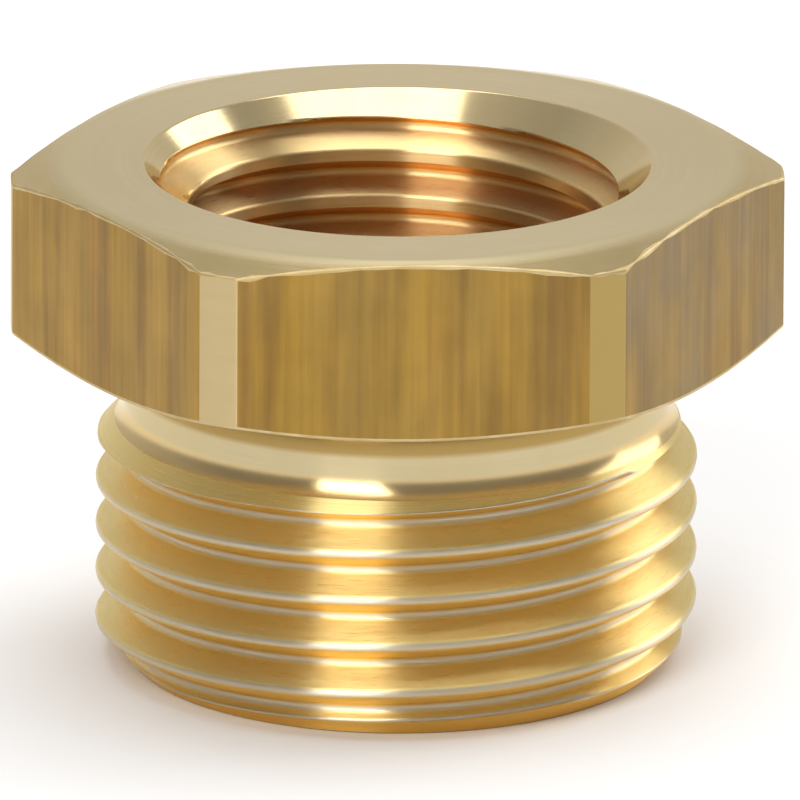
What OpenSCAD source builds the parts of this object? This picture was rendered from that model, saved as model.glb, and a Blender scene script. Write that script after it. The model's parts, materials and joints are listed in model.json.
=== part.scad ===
// Reducing nipple, turned from one piece of hexagon bar.
// It stands on its male end, axis along +Z, with the middle of that end at the origin.

/* [Hexagon] */
// Width across the flats
hex_af = 19; // [18.5:0.5:24]
// Height of the hexagon, from the seat under it to its top face
hex_height = 5.2; // [3:0.1:8]
// How far the six corners are turned back, measured on the radius
corner_trim = 0.32; // [0.1:0.02:0.8]
// How far the round top and seat faces stop short of the flats
face_inset = 0.3; // [0.1:0.05:0.5]
// Slope of the turned chamfer round the top face
top_chamfer_angle = 15.5; // [5:0.5:35]
// Slope of the turned chamfer round the seat face
seat_chamfer_angle = 19; // [5:0.5:35]

/* [Threads] */
// Pitch of both threads, 19 turns to the inch
pitch = 1.337; // [0.907:0.001:1.6]
// Angle between the two flanks of a thread
thread_angle = 55; // [50:1:60]
// Height of the thread's V from root to crest, as a share of the pitch
depth_ratio = 0.64; // [0.5:0.01:0.68]

/* [Male end] */
// Outside diameter over the male thread
male_major_d = 16.6; // [16.2:0.05:17.2]
// Length of the shank, from its end to the seat under the hexagon
shank_length = 9; // [7:0.1:14]
// Diameter of the flat ring that the shank ends in
nose_d = 14.5; // [13.8:0.1:15.6]
// Height of the middle of the lowest crest above the end
male_first_crest = 0.126; // [0:0.01:1.3]

/* [Undercut] */
// Diameter of the neck between the thread and the hexagon
neck_d = 15.1; // [14.4:0.05:15.9]
// Width of the undercut, with both of its fillets
neck_width = 1.9; // [1.7:0.1:3]
// Radius where the neck meets the seat
seat_fillet = 1; // [0.3:0.05:1.1]
// Radius where the neck meets the run-out chamfer of the thread
runout_fillet = 0.6; // [0.1:0.05:0.8]

/* [Female end] */
// Diameter inside the crests of the female thread, which is the drilled hole
female_minor_d = 11.445; // [11:0.05:11.9]
// Depth of the female thread from the top face
female_length = 10.5; // [6:0.1:12]
// Diameter of the countersunk mouth in the top face
mouth_d = 14; // [13.6:0.1:15]
// Depth of the middle of the highest female root below the top face
female_first_root = 0.956; // [0.7:0.01:1.3]
// Chamfer where the hole leaves through the male end
exit_chamfer = 0.4; // [0.1:0.05:0.8]

/* [Hidden] */
$fn = 144;

brass = "#b5934f";
facets_per_fillet = 8;
turning_slope = 45;                  // end, run-out and mouth chamfers are all cut at 45 degrees
overlap = 0.5;                       // how far a cutter or a joined body runs past the other

total_height = shank_length + hex_height;
corner_r = hex_af / 2 / cos(30) - corner_trim;
face_r = hex_af / 2 - face_inset;

thread_depth = depth_ratio * pitch;
flank_rise = thread_depth * tan(thread_angle / 2);
land = pitch / 2 - flank_rise;       // width of the flat on each crest and in each root
male_major_r = male_major_d / 2;
male_minor_r = male_major_r - thread_depth;
female_minor_r = female_minor_d / 2;
female_major_r = female_minor_r + thread_depth;

neck_r = neck_d / 2;
neck_low = shank_length - neck_width;
nose_r = nose_d / 2;
mouth_r = mouth_d / 2;
mouth_depth = (mouth_r - female_minor_r) * tan(turning_slope);

male_turns = ceil((neck_low - male_first_crest) / pitch);
female_turns = floor((female_length - female_first_root) / pitch) + 1;

// Points of one thread turn in section, from a root to the next root, with its crest at height z.
function turn(root_r, crest_r, z) = [
    [root_r, z - land / 2 - flank_rise],
    [crest_r, z - land / 2],
    [crest_r, z + land / 2],
    [root_r, z + land / 2 + flank_rise]
];

// An arc of a fillet about a centre, from one angle to another.
function arc(centre, radius, from, to) = [
    for (i = [0 : facets_per_fillet])
        let (a = from + (to - from) * i / facets_per_fillet)
        centre + radius * [cos(a), sin(a)]
];

// Section of the hexagon head before its flats: round faces, two turned chamfers and turned corners.
module head_section() {
    rise = (corner_r - face_r) * tan(seat_chamfer_angle);
    fall = (corner_r - face_r) * tan(top_chamfer_angle);
    polygon([
        [0, shank_length],
        [face_r, shank_length],
        [corner_r, shank_length + rise],
        [corner_r, total_height - fall],
        [face_r, total_height],
        [0, total_height]
    ]);
}

module hexagon_head() {
    intersection() {
        rotate_extrude() head_section();
        translate([0, 0, shank_length - overlap])
            cylinder(r = hex_af / 2 / cos(30), h = hex_height + 2 * overlap, $fn = 6);
    }
}

// Everything below the seat that is inside the end chamfer, the run-out chamfer and the undercut.
module shank_envelope() {
    blank_r = male_major_r + overlap;
    low_centre = [neck_r + runout_fillet, neck_low + runout_fillet * tan(turning_slope / 2)];
    high_centre = [neck_r + seat_fillet, shank_length - seat_fillet];
    polygon(concat(
        [
            [0, 0],
            [nose_r, 0],
            [blank_r, (blank_r - nose_r) * tan(turning_slope)],
            [blank_r, neck_low - (blank_r - neck_r) * tan(turning_slope)]
        ],
        arc(low_centre, runout_fillet, 180 + turning_slope, 180),
        arc(high_centre, seat_fillet, 180, 90),
        [
            [neck_r + seat_fillet, shank_length + overlap],
            [0, shank_length + overlap]
        ]
    ));
}

// The shank with its thread: the V's have the true section, pitch and diameters, each as a closed turn.
module shank_section() {
    intersection() {
        shank_envelope();
        polygon(concat(
            [[0, 0], [male_minor_r, 0]],
            [for (i = [0 : male_turns - 1]) each turn(male_minor_r, male_major_r, male_first_crest + i * pitch)],
            [
                [male_major_r + overlap, neck_low],
                [male_major_r + overlap, shank_length + overlap],
                [0, shank_length + overlap]
            ]
        ));
    }
}

module shank() {
    rotate_extrude() shank_section();
}

// Hole right through, with its countersunk mouth, female thread and exit chamfer.
module bore_section() {
    top_root = total_height - female_first_root;
    exit_r = female_minor_r + exit_chamfer;
    polygon([
        [0, -overlap],
        [exit_r + overlap, -overlap],
        [female_minor_r, exit_chamfer],
        [female_minor_r, total_height - mouth_depth],
        [mouth_r + overlap, total_height + overlap],
        [0, total_height + overlap]
    ]);
    for (i = [0 : female_turns - 1])
        translate([0, top_root - i * pitch])
            polygon(concat(
                [[0, -land / 2 - flank_rise]],
                turn(female_minor_r, female_major_r, 0),
                [[0, land / 2 + flank_rise]]
            ));
}

module bore() {
    rotate_extrude() bore_section();
}

module nipple() {
    color(brass)
        difference() {
            union() {
                hexagon_head();
                shank();
            }
            bore();
        }
}

nipple();
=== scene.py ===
import json
import math

import bmesh
import bpy
import numpy as np
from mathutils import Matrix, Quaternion, Vector


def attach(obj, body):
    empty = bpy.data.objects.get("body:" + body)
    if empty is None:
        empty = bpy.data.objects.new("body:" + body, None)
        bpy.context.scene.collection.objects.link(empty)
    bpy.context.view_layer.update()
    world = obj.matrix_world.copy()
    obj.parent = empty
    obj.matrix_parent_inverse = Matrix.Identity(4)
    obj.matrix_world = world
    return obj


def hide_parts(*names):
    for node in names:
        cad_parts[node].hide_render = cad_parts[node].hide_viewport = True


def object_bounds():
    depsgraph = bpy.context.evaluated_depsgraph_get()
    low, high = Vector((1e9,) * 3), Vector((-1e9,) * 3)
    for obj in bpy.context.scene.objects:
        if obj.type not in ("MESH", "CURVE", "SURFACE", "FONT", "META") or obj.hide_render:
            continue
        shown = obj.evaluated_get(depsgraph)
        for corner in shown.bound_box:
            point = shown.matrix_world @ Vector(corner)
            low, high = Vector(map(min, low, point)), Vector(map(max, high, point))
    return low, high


# A brass reducing nipple: hexagon bar turned to a threaded shank, with a smaller thread in its countersunk
# top. Both threads are true helices here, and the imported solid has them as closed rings.
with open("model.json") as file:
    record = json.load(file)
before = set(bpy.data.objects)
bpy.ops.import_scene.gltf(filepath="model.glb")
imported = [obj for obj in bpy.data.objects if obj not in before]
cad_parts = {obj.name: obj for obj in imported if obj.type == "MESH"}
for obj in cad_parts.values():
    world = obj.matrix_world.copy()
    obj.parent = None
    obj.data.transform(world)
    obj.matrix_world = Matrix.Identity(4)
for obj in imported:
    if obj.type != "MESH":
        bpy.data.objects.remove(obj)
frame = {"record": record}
cadLow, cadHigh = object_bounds()
mounts = {m["name"]: m for m in frame["record"]["mounts"]}
mm = 0.001
print("frame loaded")


# Camera, at the photograph's place
# The camera looks from a long way off, so the picture is nearly parallel. Its azimuth counts from +X.
view = {
    "target": (0, 0, 7.1 * mm),
    "azimuth": -92.76,
    "elevation": 17.52,
    "distance": 0.858,
    "lens": 1400,
    "shift": (0.0042, 0.0090),
    "roll": 0.27,
}


# Unit vector from an azimuth and an elevation in degrees.
def direction(azimuth, elevation):
    a, e = math.radians(azimuth), math.radians(elevation)
    return Vector((math.cos(a) * math.cos(e), math.sin(a) * math.cos(e), math.sin(e)))


def addCamera(v):
    lens = bpy.data.cameras.new("camera")
    lens.lens = v["lens"]
    lens.sensor_width = 36
    lens.shift_x, lens.shift_y = v["shift"]
    lens.clip_start, lens.clip_end = 0.01, 10
    camera = bpy.data.objects.new("camera", lens)
    bpy.context.scene.collection.objects.link(camera)
    away = direction(v["azimuth"], v["elevation"])
    camera.location = Vector(v["target"]) + away * v["distance"]
    turn = Quaternion((0, 0, 1), math.radians(v["roll"]))
    camera.rotation_euler = ((-away).to_track_quat("-Z", "Y") @ turn).to_euler()
    bpy.context.scene.camera = camera


addCamera(view)
print("camera placed")


# The nipple's shape, in millimetres
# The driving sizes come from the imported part. The rest are the turned details.
nippleShape = {
    "height": cadHigh.z / mm,
    "acrossFlats": (cadHigh.y - cadLow.y) / mm,
    "cornerRadius": cadHigh.x / mm,
    "seatHeight": mounts["seal_seat"]["pos_m"][2] / mm,
    "faceRadius": 9.2,                # the flat top and the flat seat end here
    "topSlope": 15.5,
    "seatSlope": 19,
    "edgeReach": 0.05,                # how far an edge's rounding reaches along each side
    "flatBlend": 0.03,                # softness of the upright edges of the hexagon
    "threadBlend": 0.03,              # softness where a thread meets a chamfer, the cone or the hole
    "maleRadius": mounts["male_thread"]["dims"]["r_mm"],
    "femaleRadius": mounts["female_thread"]["dims"]["r_mm"],
    "pitch": 1.337,
    "flankAngle": 27.5,
    "maleCrest": 0.469,               # height of a crest at azimuth 0, and the rest follow by the pitch
    "femaleRoot": 12.92,              # height of a root at azimuth 0
    "neckRadius": 7.55,
    "neckLow": 7.1,
    "seatFillet": 1.0,
    "runoutFillet": 0.8,
    "runoutFade": (6.6, 7.0),         # the male groove comes to its end between these heights
    "noseRadius": 7.25,
    "mouthRadius": 7.0,
    "exitChamfer": 0.4,
    "femaleFade": (3.3, 5.0),         # the tap's lead, where the female groove gets shallower
    "femaleLow": 3.0,                 # the band with the groove starts here
    "columnSteps": (0.17, 0.17, 0.25, 0.4, 0.65, 1.0, 1.5, 2.0),      # degrees, outwards from an edge
    "femaleRows": (0.1, 0.163, 0.23, 0.30, 0.38, 0.46, 0.535, 0.58),  # offsets from a root
    "seed": 7,
}


# 0 below low, 1 above high, and 3t² - 2t³ between.
def smoothStep(low, high, x):
    t = np.clip((x - low) / (high - low), 0, 1)
    return t * t * (3 - 2 * t)


# The smaller of a and b, less (width - |a - b|)² / (4 width) where they are closer than width.
def softMin(a, b, width):
    near = np.maximum(width - np.abs(a - b), 0)
    return np.minimum(a, b) - near ** 2 / (4 * width)


# Azimuths of the grid's columns: close together at the hexagon's twelve upright edges, then wider step by
# step.
def columnAngles(shape):
    inner = math.degrees(math.acos(shape["acrossFlats"] / 2 / shape["cornerRadius"]))
    halfCorner = 30 - inner
    fromEdge = np.cumsum(shape["columnSteps"])
    intoCorner = halfCorner - fromEdge[:5]
    half = np.concatenate([[0, intoCorner[-1] / 2], intoCorner[::-1], [halfCorner], halfCorner + fromEdge])
    half = np.concatenate([half, np.linspace(half[-1], 30, 8)[1:]])
    sector = np.concatenate([-half[:0:-1], half[:-1]])
    angles = (sector[None, :] + 60 * np.arange(6)[:, None]).ravel()
    return np.radians(np.append(angles, angles[0] + 360)), math.radians(halfCorner)


# Proportions of a 55 degree pipe thread as shares of the pitch: the depth, the radius of the rounding, and
# how far the rounding takes the tip of the full V off.
depthShare, roundShare, tipShare = 0.6403, 0.137329, 0.16008


# Radius of a 55 degree pipe thread at an offset along the axis from the middle of its outer turn: an arc
# round the top, a straight flank at 27.5 degrees and an arc in the bottom, all tangent.
def threadRadius(offset, top, bottom, shape):
    p, rounding = shape["pitch"], roundShare * shape["pitch"]
    d = np.abs((offset + p / 2) % p - p / 2)
    reach = rounding * math.cos(math.radians(shape["flankAngle"]))
    topArc = top - rounding + np.sqrt(np.maximum(rounding ** 2 - d ** 2, 0))
    flank = top + tipShare * p - d / math.tan(math.radians(shape["flankAngle"]))
    bottomArc = bottom + rounding - np.sqrt(np.maximum(rounding ** 2 - (p / 2 - d) ** 2, 0))
    return np.where(d < reach, topArc, np.where(d > p / 2 - reach, bottomArc, flank))


# Offsets of the rows in one turn of a thread: even angles round both arcs, and a few on each flank.
def turnRows(shape, arcSteps, middle):
    p, rounding = shape["pitch"], roundShare * shape["pitch"]
    arc = rounding * np.sin(np.radians(np.linspace(-62.5, 62.5, arcSteps)))
    flank = np.array([arc[-1] + 0.04, *middle, p / 2 - arc[-1] - 0.04])
    root = p / 2 + arc
    return np.sort(np.concatenate([arc, flank, root, p - flank]))


# Heights of the rows of a band that follows a helix: start + pitch (turn + azimuth / 360) + offset, held
# between the band's two ends.
def helixGrid(theta, start, offsets, low, high, shape):
    p = shape["pitch"]
    rows = (np.arange(-12, 12)[:, None] * p + np.sort(offsets)[None, :]).ravel() + start
    z = rows[:, None] + p * theta[None, :] / (2 * math.pi)
    z = np.where(z < low + 0.012, low, np.where(z > high - 0.012, high, z))
    used = (z > low).any(1) & (z < high).any(1)
    used[:-1] |= used[1:]
    used[1:] |= used[:-1]
    return z[used]


# Unit normals of a surface radius(theta, z), away from the axis: (1, -dr/dtheta / r, -dr/dz) along the
# radius, round the part and up, from differences over 0.002 mm.
def turnedNormals(radius, theta, z):
    step = 0.001
    r = radius(theta, z)
    slope = (radius(theta, z + step) - radius(theta, z - step)) / (2 * step)
    turn = step / r
    twist = (radius(theta + turn, z) - radius(theta - turn, z)) / (2 * step)
    cos, sin = np.cos(theta), np.sin(theta)
    normal = np.stack([cos + twist * sin, sin - twist * cos, -slope], 2)
    return normal / np.linalg.norm(normal, axis=2, keepdims=True)


# Points on a straight line from start to end, at the given shares of its length.
def between(start, end, shares):
    t = np.asarray(shares)[:, None, None]
    return start[None] * (1 - t) + end[None] * t


# A corner rounded by a parabola that touches both sides at the same reach from it: (1 - t)² a + 2 t (1 -
# t) corner + t² b, with one more row just outside each end.
def roundedEdge(before, corner, after, reach):
    def side(other):
        way = other - corner
        return way / np.linalg.norm(way, axis=1, keepdims=True)
    reach = np.broadcast_to(reach, corner.shape[:1])[:, None]
    a, b = corner + side(before) * reach, corner + side(after) * reach
    t = np.linspace(0, 1, 5)[:, None, None]
    curve = (1 - t) ** 2 * a + 2 * t * (1 - t) * corner + t ** 2 * b
    outside = 1.6 * reach
    first, last = corner + side(before) * outside, corner + side(after) * outside
    return np.concatenate([first[None], curve, last[None]])


# A true arc in the section, the same in every column.
def filletArc(centre, radius, start, end, steps, count):
    a = np.radians(np.linspace(start, end, steps))
    points = np.stack([centre[0] + radius * np.cos(a), centre[1] + radius * np.sin(a)], 1)
    return np.repeat(points[:, None, :], count, 1)


# The reach of a hand-broken edge: 1 plus a few dozen seeded waves round the part.
def unevenEdge(theta, reach, shape):
    random = np.random.default_rng(shape["seed"])
    waves = random.integers(9, 110, 26)
    phases = random.uniform(0, 2 * math.pi, 26)
    sizes = random.uniform(0.3, 1, 26) / 8
    wave = (sizes[:, None] * np.sin(waves[:, None] * theta[None] + phases[:, None])).sum(0)
    return reach * np.clip(1 + wave, 0.45, 1.8)


# Stacks the rows of one stretch of the section. A part names the finish inside it and the finish after
# its last row.
def joinParts(parts):
    rows = np.concatenate([p for _, _, p in parts])
    finish = [name for inside, after, p in parts for name in [inside] * (len(p) - 1) + [after]]
    return rows, np.array(finish)


# Section of the head in every column, from the mouth's cone over the top, down a flat and in to the neck.
def headRows(theta, shape):
    n = len(theta)

    def ring(r, z):
        return np.stack([np.broadcast_to(r, (n,)), np.broadcast_to(z, (n,))], 1).astype(float)

    top, seat, face = shape["height"], shape["seatHeight"], shape["faceRadius"]
    toNormal = (theta + math.pi / 6) % (math.pi / 3) - math.pi / 6
    flat = shape["acrossFlats"] / 2 / np.cos(math.pi / 6 - np.abs(toNormal))
    side = softMin(flat, shape["cornerRadius"], shape["flatBlend"])
    topEdge = top - (side - face) * math.tan(math.radians(shape["topSlope"]))
    lowEdge = seat + (side - face) * math.tan(math.radians(shape["seatSlope"]))
    uneven = unevenEdge(theta, shape["edgeReach"], shape)

    mouthRim, mouthIn = ring(shape["mouthRadius"], top), ring(shape["mouthRadius"] - 0.35, top - 0.35)
    faceRim, seatRim = ring(face, top), ring(face, seat)
    upper, lower = ring(side, topEdge), ring(side, lowEdge)
    neckTop = ring(shape["neckRadius"] + shape["seatFillet"], seat)
    fillet, runout = shape["seatFillet"], shape["runoutFillet"]
    neck = shape["neckRadius"]
    runoutCentre = (neck + runout, shape["neckLow"] + runout * math.tan(math.radians(22.5)))

    chamferLength = np.linalg.norm(upper - faceRim, axis=1)
    faceReach = np.minimum(0.18, 0.25 * chamferLength)
    uneven = np.minimum(uneven, 0.2 * chamferLength)
    edge, low = shape["edgeReach"], [0.25, 0.5, 0.75]
    return joinParts([
        ("cone", "cone", mouthIn[None]),
        ("cone", "faced", roundedEdge(mouthIn, mouthRim, faceRim, 0.035)),
        ("faced", "faced", between(mouthRim, faceRim, low)),
        ("chamfer", "chamfer", roundedEdge(mouthRim, faceRim, upper, faceReach)),
        ("chamfer", "chamfer", between(faceRim, upper, [0.45, 0.6])),
        ("rim", "drawn", roundedEdge(faceRim, upper, lower, uneven)),
        ("drawn", "drawn", between(upper, lower, low)),
        ("rim", "chamfer", roundedEdge(upper, lower, seatRim, edge)),
        ("chamfer", "chamfer", between(lower, seatRim, [0.5])),
        ("faced", "faced", roundedEdge(lower, seatRim, neckTop, edge)),
        ("neck", "neck", filletArc((neck + fillet, seat - fillet), fillet, 90, 180, 13, n)),
        ("neck", "maleThread", filletArc(runoutCentre, runout, 180, 225, 8, n)),
    ])


# The male thread in a grid whose rows follow the helix, inside the 45 degree end chamfers: radius and
# height, and the normals.
def maleBand(theta, low, high, shape):
    p = shape["pitch"]

    def radius(angle, z):
        offset = z - shape["maleCrest"] - p * angle / (2 * math.pi)
        thread = threadRadius(offset, shape["maleRadius"], shape["maleRadius"] - depthShare * p, shape)
        thread = thread + smoothStep(*shape["runoutFade"], z)
        chamfers = np.minimum(low[0] + (z - low[1]), high[0] + (high[1] - z))
        return softMin(thread, chamfers, shape["threadBlend"])

    rows = turnRows(shape, 7, [p / 4])
    z = helixGrid(theta, shape["maleCrest"], rows, low[1], high[1], shape)[::-1]
    angle = np.broadcast_to(theta, z.shape)
    return np.stack([radius(angle, z), z], 2), turnedNormals(radius, angle, z)


# The female thread: the drilled hole or the groove, whichever is further out, inside the mouth's 45 degree
# cone. Its rows lie in the root, on the flanks and on both sides of the crest's edges. The last result
# marks the points on the cone.
def femaleBand(theta, low, high, shape):
    bore, p = shape["femaleRadius"], shape["pitch"]

    def wall(angle, z):
        offset = z - shape["femaleRoot"] - p * angle / (2 * math.pi)
        groove = threadRadius(offset, depthShare * p, (depthShare - 1) * p, shape)
        depth = -softMin(-groove, np.zeros_like(z), shape["threadBlend"])
        return bore + depth * smoothStep(*shape["femaleFade"], z)

    def radius(angle, z):
        return -softMin(-wall(angle, z), high[1] - high[0] - z, shape["threadBlend"])

    half = np.array(shape["femaleRows"])
    rows = np.concatenate([[0, p / 2], half, -half])
    z = helixGrid(theta, shape["femaleRoot"], rows, low[1], high[1], shape)
    angle = np.broadcast_to(theta, z.shape)
    onCone = z - high[1] + high[0] > wall(angle, z) - 0.005
    return np.stack([radius(angle, z), z], 2), -turnedNormals(radius, angle, z), onCone


# Section of the male end: round its outer edge, in over the end face, and up the exit chamfer into the
# hole.
def noseRows(theta, last, first, shape):
    n = len(theta)

    def ring(r, z):
        return np.repeat(np.array([[r, z]], float), n, 0)

    bore, chamfer = shape["femaleRadius"], shape["exitChamfer"]
    outer, inner = ring(shape["noseRadius"], 0), ring(bore + chamfer, 0)
    hole, above = ring(bore, chamfer), ring(*first)
    return joinParts([
        ("chamfer", "faced", roundedEdge(ring(*last), outer, inner, 0.05)[1:]),
        ("faced", "faced", between(outer, inner, [0.5])),
        ("faced", "chamfer", roundedEdge(outer, inner, hole, 0.05)),
        ("chamfer", "bore", roundedEdge(inner, hole, above, 0.05)),
        ("bore", "bore", between(hole, above, [0.5, 1])),
    ])


finishNames = ["faced", "chamfer", "corner", "rim", "drawn", "neck", "cone", "maleThread", "bore"]


# Joins the bands into one closed skin. Every band runs the same way along the section, so all faces point
# out.
def nippleMesh(shape):
    theta, halfCorner = columnAngles(shape)
    head, headFinish = headRows(theta, shape)
    highEnd = head[-1, 0]
    chamferStart = shape["noseRadius"] + 0.05 * math.cos(math.pi / 4), 0.05 * math.sin(math.pi / 4)
    male, maleNormals = maleBand(theta, chamferStart, highEnd, shape)
    holeLow = (shape["femaleRadius"], shape["femaleLow"])
    nose, noseFinish = noseRows(theta, (chamferStart[0] + 1, chamferStart[1] + 1), holeLow, shape)
    coneEnd = head[0, 0]
    female, femaleNormals, onCone = femaleBand(theta, holeLow, coneEnd, shape)

    points = np.concatenate([head, male, nose, female])
    finish = np.concatenate([headFinish, ["maleThread"] * len(male), noseFinish, ["bore"] * len(female)])
    rows, columns = points.shape[:2]
    x = points[..., 0] * np.cos(theta)
    y = points[..., 0] * np.sin(theta)
    vertices = np.stack([x, y, points[..., 1]], 2).reshape(-1, 3) * mm
    ownWay = np.zeros((rows, columns, 3))
    ownWay[len(head):len(head) + len(male)] = maleNormals
    ownWay[-len(female):] = femaleNormals

    index = np.arange(rows * columns).reshape(rows, columns)
    corners = [index[:-1, :-1], index[1:, :-1], index[1:, 1:], index[:-1, 1:]]
    faces = np.stack(corners, 2).reshape(-1, 4)

    middle = (theta[:-1] + theta[1:]) / 2
    onCorner = np.abs((middle + math.pi / 6) % (math.pi / 3) - math.pi / 6) < halfCorner
    kind = np.array([finishNames.index(f) for f in finish[:-1]])
    kinds = np.repeat(kind[:, None], columns - 1, 1)
    onCone = onCone[:-1, :-1] & onCone[1:, 1:]
    kinds[-len(onCone):][onCone] = finishNames.index("cone")
    drawnCorner = (kinds == finishNames.index("drawn")) & onCorner[None]
    kinds = np.where(drawnCorner, finishNames.index("corner"), kinds).ravel()
    return vertices, faces, kinds, ownWay


# normals holds a normal for each vertex, or zeros where Blender's own is right.
def addMesh(name, vertices, faces, kinds, normals, materials):
    mesh = bpy.data.meshes.new(name)
    mesh.from_pydata(vertices, [], faces.tolist())
    for material in materials:
        mesh.materials.append(material)
    mesh.polygons.foreach_set("material_index", kinds.astype(np.int32))
    mesh.polygons.foreach_set("use_smooth", np.ones(len(faces), bool))
    kept = mesh.attributes.new("way", "FLOAT_VECTOR", "POINT")
    kept.data.foreach_set("vector", normals.ravel().astype(np.float32))
    work = bmesh.new()
    work.from_mesh(mesh)
    bmesh.ops.remove_doubles(work, verts=work.verts, dist=3e-7)
    work.to_mesh(mesh)
    work.free()
    mesh.update()
    way = np.empty(3 * len(mesh.vertices), np.float32)
    smooth = np.empty_like(way)
    mesh.attributes["way"].data.foreach_get("vector", way)
    mesh.vertex_normals.foreach_get("vector", smooth)
    mesh.attributes.remove(mesh.attributes["way"])
    way = way.reshape(-1, 3)
    mesh.normals_split_custom_set_from_vertices(way)
    # facingUp is the upward share of each normal. The finishes use it to paint shade on what faces down and
    # light on what faces up.
    up = np.where(way.any(1), way[:, 2], smooth[2::3])
    facing = mesh.attributes.new("facingUp", "FLOAT", "POINT")
    facing.data.foreach_set("value", up.astype(np.float32))
    piece = bpy.data.objects.new(name, mesh)
    bpy.context.scene.collection.objects.link(piece)
    return piece


# Finishes
# A node with its settings, and with its inputs set to values or linked to other nodes' sockets.
def addNode(tree, kind, inputs=None, **settings):
    node = tree.nodes.new(kind)
    for key, value in settings.items():
        setattr(node, key, value)
    for key, value in (inputs or {}).items():
        if isinstance(value, bpy.types.NodeSocket):
            tree.links.new(value, node.inputs[key])
        else:
            node.inputs[key].default_value = value
    return node


def mapped(tree, value, low, high, start=0.0, end=1.0):
    return addNode(tree, "ShaderNodeMapRange", {
        "Value": value, "From Min": low, "From Max": high, "To Min": start, "To Max": end,
    }).outputs[0]


def times(tree, a, b):
    return addNode(tree, "ShaderNodeMath", {0: a, 1: b}, operation="MULTIPLY").outputs[0]


# A mix of two colours. Each is a plain colour or another node's socket.
def mixed(tree, factor, a, b):
    node = addNode(tree, "ShaderNodeMix", {"Factor": factor}, data_type="RGBA")
    for name, colour in (("A", a), ("B", b)):
        if isinstance(colour, bpy.types.NodeSocket):
            tree.links.new(colour, node.inputs[name])
        else:
            node.inputs[name].default_value = (*colour, 1)
    return node.outputs["Result"]


# The place on the part in millimetres, as three separate values.
def placeOnPart(tree):
    place = addNode(tree, "ShaderNodeTexCoord")
    scaled = addNode(tree, "ShaderNodeVectorMath", {0: place.outputs["Object"], 1: (1000, 1000, 1000)},
                     operation="MULTIPLY")
    return addNode(tree, "ShaderNodeSeparateXYZ", {0: scaled.outputs[0]}).outputs


# An empty shader node group with float inputs and outputs, and its two end nodes.
def newGroup(name, inputs, outputs):
    group = bpy.data.node_groups.new(name, "ShaderNodeTree")
    for socket, value in inputs.items():
        made = group.interface.new_socket(socket, in_out="INPUT", socket_type="NodeSocketFloat")
        made.default_value = value
    for socket in outputs:
        group.interface.new_socket(socket, in_out="OUTPUT", socket_type="NodeSocketFloat")
    return group, group.nodes.new("NodeGroupInput"), group.nodes.new("NodeGroupOutput")


# Four-dimensional noise whose axes are stretched one by one: factors times values, in millimetres.
def noise(tree, values, factors, detail, roughness=0.6):
    spot = addNode(tree, "ShaderNodeCombineXYZ", {i: times(tree, values[i], factors[i]) for i in range(3)})
    return addNode(tree, "ShaderNodeTexNoise", {
        "Vector": spot.outputs[0], "W": times(tree, values[3], factors[3]),
        "Scale": 1, "Detail": detail, "Roughness": roughness,
    }, noise_dimensions="4D").outputs[0]


# Tool marks of turning, which change fast with radius and height and slowly round the part:
# Rings are the marks that can be seen one by one, Grain is the fine brushing between them,
# and Patch is a slow change round the part.
def turningGroup():
    group, start, end = newGroup(
        "turningMarks", {"Across": 12, "Up": 12, "Along": 0.2}, ["Rings", "Grain", "Patch"])
    x, y, z = placeOnPart(group)
    flat = addNode(group, "ShaderNodeCombineXYZ", {0: x, 1: y})
    length = addNode(group, "ShaderNodeVectorMath", {0: flat.outputs[0]}, operation="LENGTH")
    radius = length.outputs["Value"]
    around = start.outputs["Along"]
    spot = (radius, z, x, y)
    rings = noise(group, spot, (start.outputs["Across"], start.outputs["Up"], around, around), 3)
    grain = noise(group, spot, (60, 60, 0.06, 0.06), 1)
    patch = noise(group, (x, y, z, z), (0.55, 0.55, 0.1, 0), 2)
    group.links.new(rings, end.inputs["Rings"])
    group.links.new(grain, end.inputs["Grain"])
    group.links.new(mapped(group, patch, 0.35, 0.65), end.inputs["Patch"])
    return group


# Drawing marks: noise that changes fast across the bar and slowly along it.
def streakGroup():
    group, start, end = newGroup(
        "drawnStreaks", {"Across": 6, "Along": 0.08, "Detail": 4, "Seed": 0}, ["Value"])
    x, y, z = placeOnPart(group)
    across = start.outputs["Across"]
    factors = (across, across, start.outputs["Along"], 1)
    value = noise(group, (x, y, z, start.outputs["Seed"]), factors, start.outputs["Detail"], 0.55)
    group.links.new(value, end.inputs["Value"])
    return group


groups = {"turning": turningGroup(), "streaks": streakGroup()}
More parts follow.
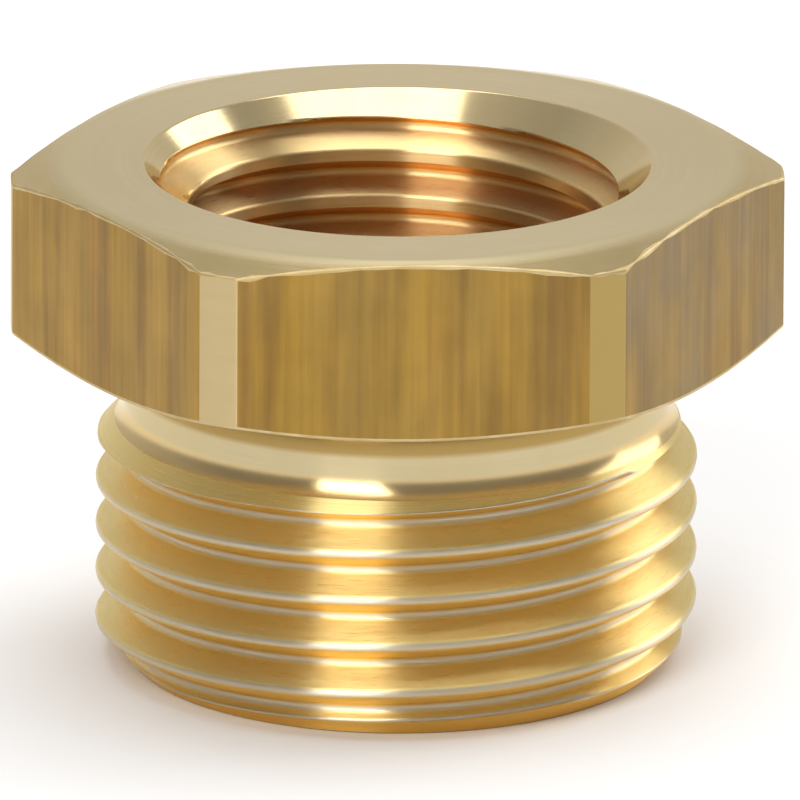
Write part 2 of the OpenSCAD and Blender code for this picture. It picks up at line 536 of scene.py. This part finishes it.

# light and dark are the two colours of the rings, and tint is that of the patches. under and over are a
# shaded and a lit copy of the finish, chosen by facing: under is painted shade, a deeper colour on what
# faces down, and over is a lighter colour on what faces up. rough is the middle roughness and spread is how
# far the brushing takes it to either side.
turnedFinishes = {
    "faced": {
        "light": (0.66, 0.56, 0.38), "dark": (0.62, 0.52, 0.34), "tint": (0.63, 0.53, 0.34),
        "rough": 0.40, "spread": 0.05, "lay": 0.25, "bump": 0.05, "across": 9, "up": 9,
    },
    "chamfer": {
        "light": (0.63, 0.50, 0.27), "dark": (0.58, 0.45, 0.23), "tint": (0.56, 0.44, 0.22),
        "under": (0.50, 0.33, 0.11),
        "rough": 0.17, "spread": 0.04, "lay": 0.25, "bump": 0.05, "across": 9, "up": 9,
    },
    "corner": {
        "light": (0.56, 0.44, 0.24), "dark": (0.52, 0.40, 0.20), "tint": (0.54, 0.41, 0.21),
        "rough": 0.34, "spread": 0.06, "lay": 0.3, "bump": 0.08, "across": 3, "up": 3,
    },
    "rim": {
        "light": (0.72, 0.60, 0.38), "dark": (0.50, 0.38, 0.18), "tint": (0.52, 0.39, 0.18),
        "rough": 0.50, "spread": 0.10, "lay": 0, "bump": 0.05, "across": 6, "up": 6,
    },
    "neck": {
        "light": (0.58, 0.48, 0.29), "dark": (0.55, 0.45, 0.26), "tint": (0.55, 0.45, 0.25),
        "rough": 0.18, "spread": 0.02, "lay": 0.9, "bump": 0.02, "across": 8, "up": 8,
    },
    "cone": {
        "light": (0.71, 0.58, 0.33), "dark": (0.68, 0.54, 0.30), "tint": (0.68, 0.53, 0.28),
        "rough": 0.14, "spread": 0.03, "lay": 0.8, "bump": 0.03, "across": 9, "up": 9,
    },
    "maleThread": {
        "light": (0.69, 0.61, 0.47), "dark": (0.66, 0.57, 0.41), "tint": (0.67, 0.56, 0.38),
        "under": (0.73, 0.435, 0.095), "over": (0.86, 0.69, 0.30),
        "rough": 0.36, "spread": 0.09, "lay": 1, "bump": 0.14, "across": 5, "up": 4, "along": 1.6,
    },
    "bore": {
        "light": (0.82, 0.62, 0.33), "dark": (0.77, 0.55, 0.26), "tint": (0.77, 0.53, 0.24),
        "under": (0.66, 0.265, 0.06), "over": (0.87, 0.64, 0.30),
        "rough": 0.32, "spread": 0.05, "lay": 1, "bump": 0.03, "across": 8, "up": 8, "along": 0.06,
    },
}

# Some finishes change over the part: a colour and a roughness that take over between two places along one
# axis, in millimetres.
takeovers = {
    "chamfer": [                         # into the top face's look
        {"axis": 2, "from": 14.05, "to": 14.19, "colour": (0.64, 0.54, 0.34), "rough": 0.38},
    ],
    # On the neck, painted shade makes it darker under the head, and a painted yellower tint colours the
    # reflections in the lower fillet.
    "neck": [                            # deeper under the head, and yellower in the lower fillet
        {"axis": 2, "from": 7.96, "to": 8.12, "colour": (0.40, 0.27, 0.09), "rough": 0.2},
        {"axis": 2, "from": 7.46, "to": 7.32, "colour": (0.66, 0.49, 0.24), "rough": 0.2},
    ],
    "corner": [                          # yellower on one side
        {"axis": 0, "from": 0, "to": 4, "colour": (0.44, 0.31, 0.11), "rough": 0.36},
    ],
}


def turnedMaterial(name, finish, look):
    material = bpy.data.materials.new(name)
    material.use_nodes = True
    tree = material.node_tree
    shader = tree.nodes["Principled BSDF"]
    shader.inputs["Metallic"].default_value = 1
    shader.inputs["Anisotropic"].default_value = look["lay"]
    shader.inputs["Anisotropic Rotation"].default_value = 0.25
    shader.inputs["Specular Tint"].default_value = (0.97, 0.91, 0.78, 1)
    marks = addNode(tree, "ShaderNodeGroup", node_tree=groups["turning"])
    for socket, key in (("Across", "across"), ("Up", "up"), ("Along", "along")):
        marks.inputs[socket].default_value = look.get(key, 0.2)
    colour = mixed(tree, mapped(tree, marks.outputs["Rings"], 0.3, 0.7), look["dark"], look["light"])
    colour = mixed(tree, marks.outputs["Patch"], colour, look["tint"])
    facing = addNode(tree, "ShaderNodeAttribute", attribute_name="facingUp").outputs["Fac"]
    # Painted shade and light by facing: what faces down turns to the deeper under colour, and what faces up
    # turns to the lighter over colour.
    if "under" in look:
        colour = mixed(tree, mapped(tree, facing, -0.25, -0.65), colour, look["under"])
    if "over" in look:
        colour = mixed(tree, mapped(tree, facing, 0.35, 0.65), colour, look["over"])
    smoothest, roughest = look["rough"] - look["spread"], look["rough"] + look["spread"]
    rough = mapped(tree, marks.outputs["Grain"], 0.3, 0.7, smoothest, roughest)
    for change in takeovers.get(finish, []):
        reach = mapped(tree, placeOnPart(tree)[change["axis"]], change["from"], change["to"])
        colour = mixed(tree, reach, colour, change["colour"])
        blend = addNode(tree, "ShaderNodeMix", {"Factor": reach, "A": rough, "B": change["rough"]})
        rough = blend.outputs["Result"]
    tree.links.new(colour, shader.inputs["Base Color"])
    tree.links.new(rough, shader.inputs["Roughness"])
    bump = addNode(tree, "ShaderNodeBump", {
        "Height": marks.outputs["Rings"], "Strength": look["bump"], "Distance": 0.02 * mm,
    })
    tree.links.new(bump.outputs[0], shader.inputs["Normal"])
    return material


drawnLook = {
    "gold": (0.40, 0.235, 0.044),
    "olive": (0.335, 0.205, 0.046),
    "brown": (0.235, 0.132, 0.036),
    "rust": (0.38, 0.170, 0.034),
    "grey": (0.265, 0.186, 0.085),
    "rough": 0.38,
    "lay": 0.5,
    "bump": 0.10,
}


# The drawn flats: gold that turns olive, brown and rust in streaks along the bar, with grey stains on one
# side.
def drawnMaterial(look):
    material = bpy.data.materials.new("brassDrawn")
    material.use_nodes = True
    tree = material.node_tree
    shader = tree.nodes["Principled BSDF"]
    shader.inputs["Metallic"].default_value = 1
    shader.inputs["Anisotropic"].default_value = look["lay"]

    def streaks(across, along, detail, seed):
        made = addNode(tree, "ShaderNodeGroup", node_tree=groups["streaks"])
        for socket, value in (("Across", across), ("Along", along), ("Detail", detail), ("Seed", seed)):
            made.inputs[socket].default_value = value
        return made.outputs["Value"]

    broad, lines = streaks(0.9, 0.06, 3, 1), streaks(5, 0.10, 4, 2)
    hue, stain, blotch = streaks(0.8, 0.10, 3, 11), streaks(0.5, 0.22, 4, 5), streaks(0.7, 0.5, 3, 8)
    colour = mixed(tree, mapped(tree, hue, 0.42, 0.60), look["gold"], look["olive"])
    colour = mixed(tree, mapped(tree, streaks(1.1, 0.05, 3, 23), 0.57, 0.70, 0, 0.7), colour, look["rust"])
    colour = mixed(tree, mapped(tree, broad, 0.50, 0.36, 0, 0.8), colour, look["brown"])
    side = mapped(tree, placeOnPart(tree)[0], 4.9, 5.6, 0.25, 1.0)
    grey = times(tree, mapped(tree, stain, 0.32, 0.60, 0.15, 1.0), side)
    colour = mixed(tree, grey, colour, look["grey"])
    fine, coarse = mapped(tree, lines, 0.25, 0.75, 0.90, 1.10), mapped(tree, blotch, 0.3, 0.7, 0.90, 1.10)
    shade = times(tree, fine, coarse)
    shaded = addNode(tree, "ShaderNodeVectorMath", {0: colour, "Scale": shade}, operation="SCALE")
    tree.links.new(shaded.outputs[0], shader.inputs["Base Color"])
    rough = mapped(tree, lines, 0.3, 0.7, look["rough"] + 0.04, look["rough"] - 0.04)
    tree.links.new(rough, shader.inputs["Roughness"])
    bump = addNode(tree, "ShaderNodeBump", {
        "Height": lines, "Strength": look["bump"], "Distance": 0.02 * mm,
    })
    tree.links.new(bump.outputs[0], shader.inputs["Normal"])
    return material


materials = []
for finish in finishNames:
    if finish == "drawn":
        materials.append(drawnMaterial(drawnLook))
    else:
        name = "brass" + finish[0].upper() + finish[1:]
        materials.append(turnedMaterial(name, finish, turnedFinishes[finish]))
print("finishes made")

nipple = addMesh("brassNipple", *nippleMesh(nippleShape), materials)
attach(nipple, "root")
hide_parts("nipple")
print("nipple made:", len(nipple.data.polygons), "faces")


# Studio: a pale floor, a pale sky and a few soft boxes
# A box's azimuth is counted from the camera, to the right, and its brightness is what its reflection shows.
studio = {
    "floorSize": 3.0,
    "floorColour": 0.90,
    "skyBehind": 0.74,
    "skyFront": 0.28,
    "skyAbove": 0.58,
    "boxes": [
        {
            "name": "frontBox", "azimuth": -19, "elevation": 25,
            "wide": 26, "high": 48, "aside": 0, "bright": 4.6,
        },
        {
            "name": "sideBox", "azimuth": 119, "elevation": 22,
            "wide": 34, "high": 42, "aside": 0, "bright": 2.4,
        },
        {
            "name": "topBox", "azimuth": 0, "elevation": 89,
            "wide": 50, "high": 42, "aside": 0.12, "bright": 2.4,
        },
        {
            "name": "backBox", "azimuth": 180, "elevation": 60,
            "wide": 34, "high": 20, "aside": 0, "bright": 1.1,
        },
    ],
    "boxDistance": 2.5,
}


def addFloor(s):
    half = s["floorSize"] / 2
    mesh = bpy.data.meshes.new("floor")
    corners = [(-half, -half, 0), (half, -half, 0), (half, half, 0), (-half, half, 0)]
    mesh.from_pydata(corners, [], [(0, 1, 2, 3)])
    floor = bpy.data.objects.new("floor", mesh)
    bpy.context.scene.collection.objects.link(floor)
    material = bpy.data.materials.new("paleFloor")
    material.use_nodes = True
    tree = material.node_tree
    shader = tree.nodes["Principled BSDF"]
    shader.inputs["Roughness"].default_value = 1
    shader.inputs["Specular IOR Level"].default_value = 0
    ray = addNode(tree, "ShaderNodeLightPath")
    seen = addNode(tree, "ShaderNodeMath", {
        0: ray.outputs["Is Camera Ray"], 1: ray.outputs["Is Glossy Ray"],
    }, operation="MAXIMUM")
    through = addNode(tree, "ShaderNodeMath", {0: seen.outputs[0], 1: ray.outputs["Is Transmission Ray"]},
                      operation="MAXIMUM")
    colour = addNode(tree, "ShaderNodeMix", {"Factor": through.outputs[0]}, data_type="RGBA")
    colour.inputs["A"].default_value = (0.8, 0.8, 0.8, 1)
    colour.inputs["B"].default_value = (s["floorColour"],) * 3 + (1,)
    tree.links.new(colour.outputs["Result"], shader.inputs["Base Color"])
    mesh.materials.append(material)


# Sky brightness by direction: pale behind the object, falling evenly to dark towards the camera, and even
# overhead.
def addSky(s, cameraAzimuth):
    world = bpy.data.worlds.new("studio")
    bpy.context.scene.world = world
    world.use_nodes = True
    tree = world.node_tree
    place = addNode(tree, "ShaderNodeTexCoord")
    turned = addNode(tree, "ShaderNodeVectorRotate", {
        "Vector": place.outputs["Generated"], "Angle": math.radians(-cameraAzimuth),
    }, rotation_type="Z_AXIS")
    axes = addNode(tree, "ShaderNodeSeparateXYZ", {0: turned.outputs[0]})
    around = addNode(tree, "ShaderNodeMapRange", {
        "Value": axes.outputs[0], "From Min": -1, "From Max": 0.2,
        "To Min": s["skyBehind"], "To Max": s["skyFront"],
    })
    above = mapped(tree, axes.outputs[2], 0.70, 0.88)
    sky = addNode(tree, "ShaderNodeMix", {"Factor": above, "A": around.outputs[0], "B": s["skyAbove"]})
    tree.links.new(sky.outputs["Result"], tree.nodes["Background"].inputs["Color"])
    tree.nodes["Background"].inputs["Strength"].default_value = 1


# A rectangular lamp whose power gives the brightness: pi times its area times the brightness.
def addBox(box, s, cameraAzimuth):
    lamp = bpy.data.lights.new(box["name"], "AREA")
    lamp.shape = "RECTANGLE"
    lamp.size = 2 * s["boxDistance"] * math.tan(math.radians(box["wide"] / 2))
    lamp.size_y = 2 * s["boxDistance"] * math.tan(math.radians(box["high"] / 2))
    lamp.energy = math.pi * lamp.size * lamp.size_y * box["bright"]
    holder = bpy.data.objects.new(box["name"], lamp)
    bpy.context.scene.collection.objects.link(holder)
    away = direction(cameraAzimuth + box["azimuth"], box["elevation"])
    right = direction(cameraAzimuth + box["azimuth"] + 90, 0)
    holder.location = Vector(view["target"]) + (away + right * box["aside"]) * s["boxDistance"]
    holder.rotation_euler = (-away).to_track_quat("-Z", "Y").to_euler()


addFloor(studio)
addSky(studio, view["azimuth"])
for box in studio["boxes"]:
    addBox(box, studio, view["azimuth"])
bpy.context.scene.view_settings.view_transform = "Standard"
print("studio set")
